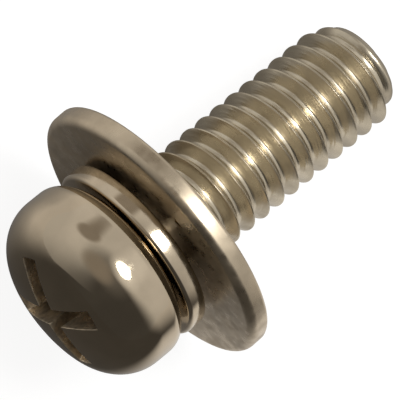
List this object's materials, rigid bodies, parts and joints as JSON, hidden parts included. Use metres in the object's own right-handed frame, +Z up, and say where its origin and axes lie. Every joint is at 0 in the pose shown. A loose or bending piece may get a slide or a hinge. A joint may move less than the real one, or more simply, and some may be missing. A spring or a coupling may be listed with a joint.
{
  "type": "screw and washer assembly",
  "caption": "Pan head machine screw with a cross recess, carrying a split spring lock washer and a flat washer that the rolled thread keeps on the shank.",
  "frame": {"origin": "centre of the object's bounding box in plan, on the surface it lies on", "axes": "+Z up; the screw lies along X with its tip towards +X, about 20 degrees below the head, in the XZ plane"},
  "size_m": [0.0148, 0.0101, 0.0099],
  "materials": {
    "screw_plating": "bright nickel plate on rolled steel",
    "lock_washer_plating": "bright nickel plate on spring steel",
    "flat_washer_plating": "bright nickel plate on stamped steel"
  },
  "bodies": {
    "screw": {"screw": "screw_plating"},
    "lock_washer": {"lock_washer": "lock_washer_plating"},
    "flat_washer": {"flat_washer": "flat_washer_plating"}
  },
  "joints": [
    {"name": "washers_spin", "type": "hinge", "parent": "screw", "child": "lock_washer", "pos_m": [-0.002, 0, 0.00481], "axis": [0.9402, 0, -0.3406], "continuous": true},
    {"name": "flat_washer_play", "type": "slide", "parent": "lock_washer", "child": "flat_washer", "axis": [0.9402, 0, -0.3406], "range_m": [0, 0.0006]}
  ]
}
